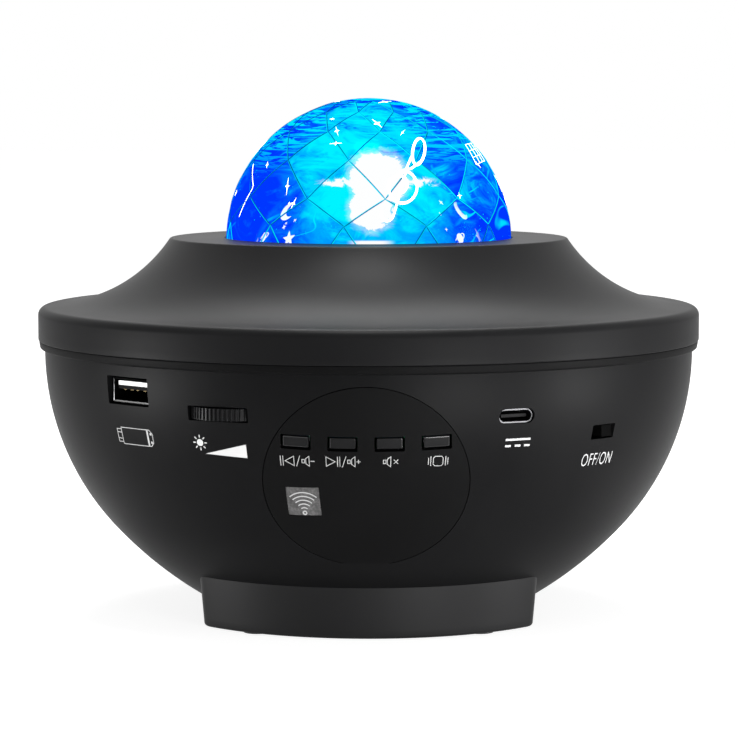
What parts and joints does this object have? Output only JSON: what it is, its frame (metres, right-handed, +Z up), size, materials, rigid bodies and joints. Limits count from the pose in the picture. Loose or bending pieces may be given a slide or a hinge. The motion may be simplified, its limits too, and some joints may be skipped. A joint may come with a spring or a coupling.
{
  "type": "star night light projector",
  "caption": "Bowl-shaped star projector night light with a flared collar, glowing faceted dome, front buttons, dial, ports and a downward speaker, on two arc feet.",
  "frame": {"origin": "on the ground under the middle of the round housing, at the underside of the rubber pads", "axes": "+Z up through the dome, -Y out of the front with the buttons, +X to the right as seen from the front"},
  "size_m": [0.168, 0.168, 0.1295],
  "materials": {
    "shell_plastic": "fine-grained moulded plastic",
    "panel_plastic": "smooth printed plastic",
    "button_plastic": "smooth",
    "window_plastic": "smoked, mottled",
    "black_plastic": "plain",
    "white_plastic": "plain",
    "gear_plastic": "plain",
    "dome_plastic": "blue light in clear moulded plastic",
    "pattern_plastic": "clear moulded plastic with light figures",
    "lens_glass": "clear",
    "pad_rubber": "matt",
    "gasket_foam": "foam",
    "port_steel": "plated",
    "screw_steel": "plated",
    "can_steel": "plated sheet",
    "magnet_steel": "dull",
    "sink_aluminium": "extruded",
    "contact_brass": "plated",
    "board_green": "solder resist",
    "board_white": "white solder resist on aluminium",
    "chip_black": "moulded",
    "led_phosphor": "lit",
    "cone_paper": "pressed paper with a rubber surround",
    "lead_red": "plain",
    "lead_blue": "plain"
  },
  "bodies": {
    "housing": {"upper_shell": "shell_plastic", "lower_shell": "shell_plastic", "front_foot": "shell_plastic", "rear_foot": "shell_plastic", "rubber_pads": "pad_rubber", "case_screws": "screw_steel", "dome_cover": "dome_plastic", "dome_ring": "black_plastic", "dome_ring_screws": "screw_steel", "control_panel": "panel_plastic", "ir_window": "window_plastic", "button_board": "board_green", "button_switches": "can_steel", "ir_receiver": "chip_black", "board_screws": "screw_steel", "main_board": "board_green", "board_parts": "chip_black", "usb_a_shell": "port_steel", "usb_a_insulator": "white_plastic", "usb_a_contacts": "contact_brass", "usb_c_shell": "port_steel", "usb_c_insulator": "black_plastic", "dial_potentiometer": "chip_black", "power_switch_case": "can_steel", "lamp_carrier": "white_plastic", "carrier_screws": "screw_steel", "heat_sink": "sink_aluminium", "led_board": "board_white", "led_chips": "led_phosphor", "led_screws": "screw_steel", "light_tube": "white_plastic", "tube_screws": "screw_steel", "condenser_lens": "lens_glass", "ring_clip": "black_plastic", "pattern_motor": "can_steel", "motor_screws": "screw_steel", "speaker_grille": "black_plastic", "speaker_gasket": "gasket_foam", "speaker_frame": "magnet_steel", "speaker_magnet": "magnet_steel", "speaker_screws": "screw_steel", "led_leads": "lead_red", "motor_leads": "lead_blue", "speaker_leads": "lead_red"},
    "previous_button": {"previous_button": "button_plastic", "previous_plunger": "chip_black"},
    "next_button": {"next_button": "button_plastic", "next_plunger": "chip_black"},
    "mute_button": {"mute_button": "button_plastic", "mute_plunger": "chip_black"},
    "mode_button": {"mode_button": "button_plastic", "mode_plunger": "chip_black"},
    "brightness_dial": {"brightness_dial": "black_plastic"},
    "power_slider": {"power_slider": "black_plastic"},
    "pattern_dome": {"pattern_ring": "gear_plastic", "pattern_dome": "pattern_plastic"},
    "drive_pinion": {"motor_shaft": "screw_steel", "drive_pinion": "gear_plastic"},
    "speaker_cone": {"speaker_cone": "cone_paper"}
  },
  "joints": [
    {"name": "previous_button_press", "type": "slide", "parent": "housing", "child": "previous_button", "axis": [0.0068, 0.9711, 0.2385], "range_m": [0, 0.0005], "stiffness_N_per_m": 3000},
    {"name": "next_button_press", "type": "slide", "parent": "housing", "child": "next_button", "axis": [0.0068, 0.9711, 0.2385], "range_m": [0, 0.0005], "stiffness_N_per_m": 3000},
    {"name": "mute_button_press", "type": "slide", "parent": "housing", "child": "mute_button", "axis": [0.0068, 0.9711, 0.2385], "range_m": [0, 0.0005], "stiffness_N_per_m": 3000},
    {"name": "mode_button_press", "type": "slide", "parent": "housing", "child": "mode_button", "axis": [0.0068, 0.9711, 0.2385], "range_m": [0, 0.0005], "stiffness_N_per_m": 3000},
    {"name": "brightness_dial_turn", "type": "hinge", "parent": "housing", "child": "brightness_dial", "pos_m": [-0.03133, -0.06568, 0.0565], "axis": [0, 0, 1], "range_deg": [-140, 140]},
    {"name": "power_slide", "type": "slide", "parent": "housing", "child": "power_slider", "axis": [0.723, 0.6909, 0], "range_m": [-0.0036, 0]},
    {"name": "pattern_turn", "type": "hinge", "parent": "housing", "child": "pattern_dome", "pos_m": [0, 0, 0.0841], "axis": [0, 0, 1], "continuous": true},
    {"name": "pinion_turn", "type": "hinge", "parent": "housing", "child": "drive_pinion", "pos_m": [0, 0.036, 0.0841], "axis": [0, 0, 1], "continuous": true},
    {"name": "speaker_cone_stroke", "type": "slide", "parent": "housing", "child": "speaker_cone", "axis": [0, 0, 1], "range_m": [-0.0005, 0.0005], "stiffness_N_per_m": 800}
  ],
  "couplings": [
    {"joint": "pinion_turn", "follows": "pattern_turn", "ratio": -5}
  ]
}
